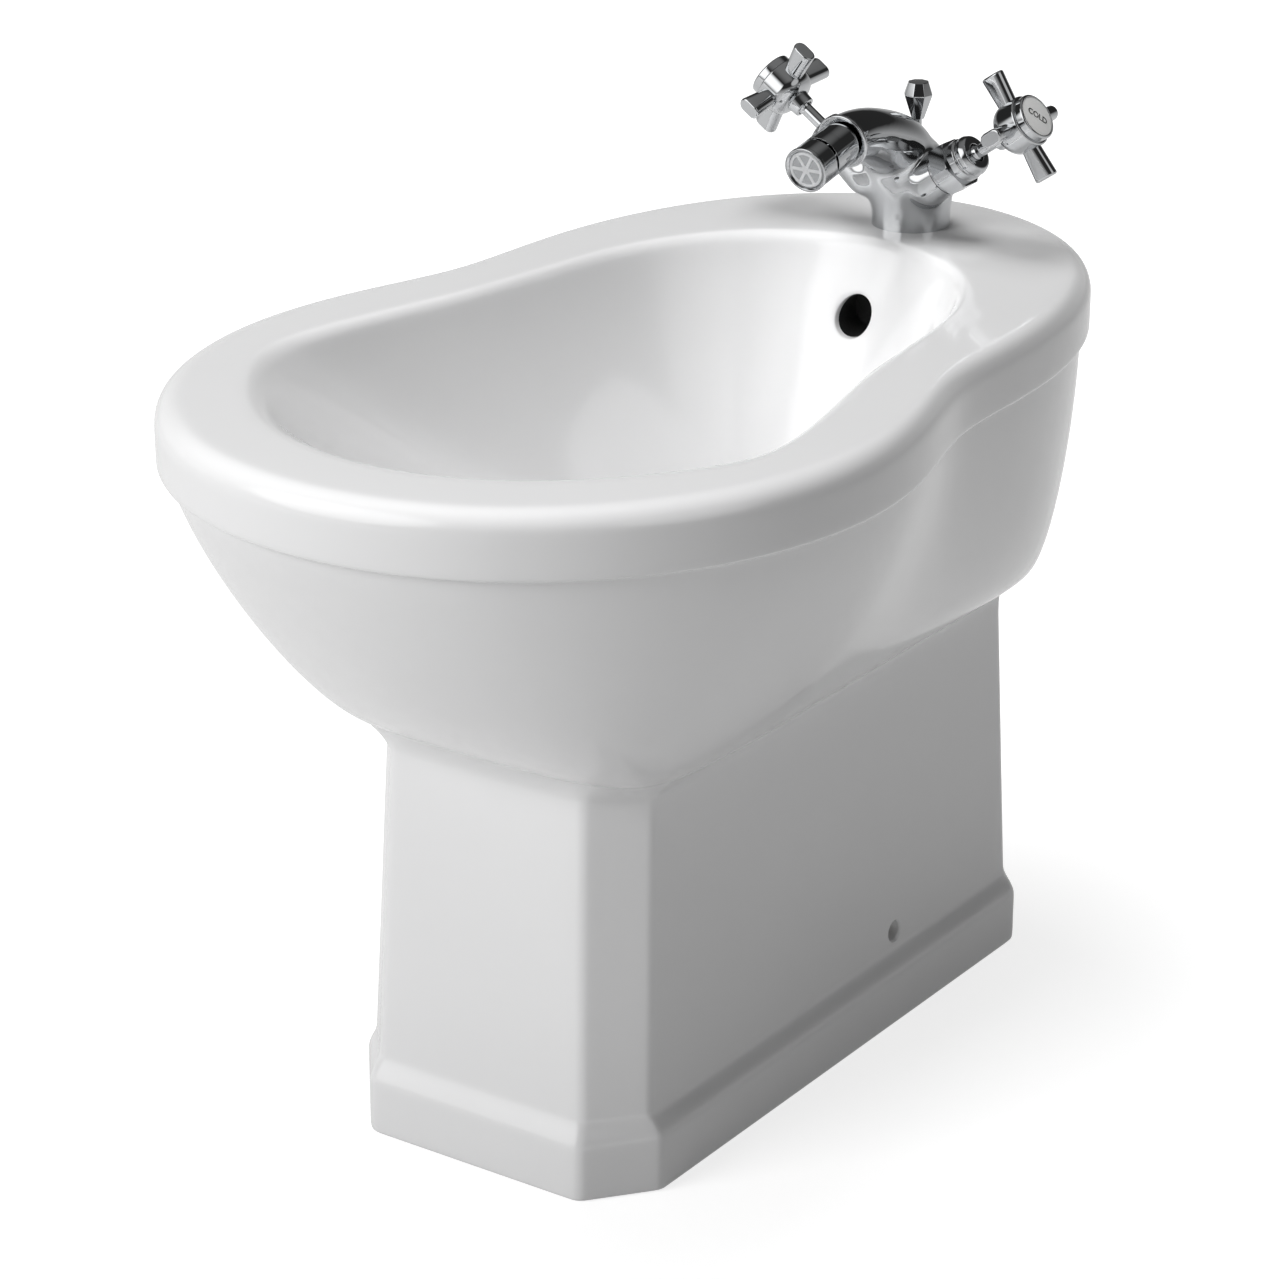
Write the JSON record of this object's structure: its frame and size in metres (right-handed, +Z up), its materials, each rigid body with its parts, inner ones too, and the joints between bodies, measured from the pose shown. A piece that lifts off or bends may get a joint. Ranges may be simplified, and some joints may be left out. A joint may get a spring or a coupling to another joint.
{
  "type": "bidet",
  "caption": "Floor-standing back-to-wall bidet in white china with a waisted rim, chamfered pedestal, chrome cross-handle mixer with a swivel nozzle, and a pop-up waste.",
  "frame": {"origin": "centre of the rim's outline, on the floor", "axes": "+Z up, -Y towards the front of the bowl, +Y towards the wall and the tap, hot on -X"},
  "size_m": [0.3733, 0.594, 0.4962],
  "materials": {
    "china": "glossy glaze",
    "chrome": "polished",
    "steel": "bright zinc",
    "rubber": "matt",
    "white_plastic": "moulded",
    "clear_plastic": "translucent",
    "disc_ceramic": "polished",
    "enamel": "glossy enamel"
  },
  "bodies": {
    "pan": {"ceramic_pan": "china", "tap_body": "chrome", "tap_base_seal": "rubber", "fixing_stud": "steel", "clamp_rubber": "rubber", "clamp_plate": "steel", "fixing_nut": "steel", "nozzle_housing": "chrome", "waste_flange": "chrome", "flange_seal": "rubber", "under_washer": "rubber", "waste_body": "chrome", "ball_gasket": "rubber", "ball_nut": "chrome", "hot_seat_seal": "rubber", "hot_fixed_disc": "disc_ceramic", "hot_bonnet": "chrome", "cold_seat_seal": "rubber", "cold_fixed_disc": "disc_ceramic", "cold_bonnet": "chrome"},
    "hot_handle": {"hot_moving_disc": "disc_ceramic", "hot_spindle": "chrome", "hot_hub": "chrome", "hot_arms": "chrome", "hot_bezel": "chrome", "hot_index": "enamel", "hot_screw": "steel"},
    "cold_handle": {"cold_moving_disc": "disc_ceramic", "cold_spindle": "chrome", "cold_hub": "chrome", "cold_arms": "chrome", "cold_bezel": "chrome", "cold_index": "enamel", "cold_screw": "steel"},
    "nozzle_swivel": {"nozzle_ball": "chrome"},
    "nozzle_front": {"nozzle_shell": "chrome", "nozzle_seat": "white_plastic", "aerator_insert": "clear_plastic"},
    "lift": {"lift_knob": "chrome", "lift_rod": "chrome", "rod_clamp": "chrome", "clamp_screw": "chrome"},
    "lever": {"pivot_lever": "steel", "pivot_ball": "white_plastic"},
    "pop_up_plug": {"plug": "chrome", "plug_seal": "rubber"}
  },
  "joints": [
    {"name": "hot_turn", "type": "hinge", "parent": "pan", "child": "hot_handle", "pos_m": [0, 0.221, 0.416], "axis": [-0.8192, 0, 0.5736], "range_deg": [-90, 0]},
    {"name": "cold_turn", "type": "hinge", "parent": "pan", "child": "cold_handle", "pos_m": [0, 0.221, 0.416], "axis": [0.8192, 0, 0.5736], "range_deg": [0, 90]},
    {"name": "nozzle_spin", "type": "hinge", "parent": "pan", "child": "nozzle_swivel", "pos_m": [0, 0.1353, 0.45532], "axis": [0, -0.9781, -0.2079], "continuous": true},
    {"name": "nozzle_tilt", "type": "hinge", "parent": "nozzle_swivel", "child": "nozzle_front", "pos_m": [0, 0.1353, 0.45532], "axis": [1, 0, 0], "range_deg": [-12, 12]},
    {"name": "lift_slide", "type": "slide", "parent": "pan", "child": "lift", "axis": [0, 0, 1], "range_m": [0, 0.0327]},
    {"name": "lever_rock", "type": "hinge", "parent": "pan", "child": "lever", "pos_m": [0, 0.1, 0.202], "axis": [1, 0, 0], "range_deg": [-0.1, 13.45]},
    {"name": "plug_slide", "type": "slide", "parent": "pan", "child": "pop_up_plug", "axis": [0, 0, 1], "range_m": [-0.00705, 0.00005]}
  ],
  "couplings": [
    {"joint": "lever_rock", "follows": "lift_slide", "rad_per_m": 7.1358},
    {"joint": "plug_slide", "follows": "lift_slide", "ratio": -0.21505}
  ]
}
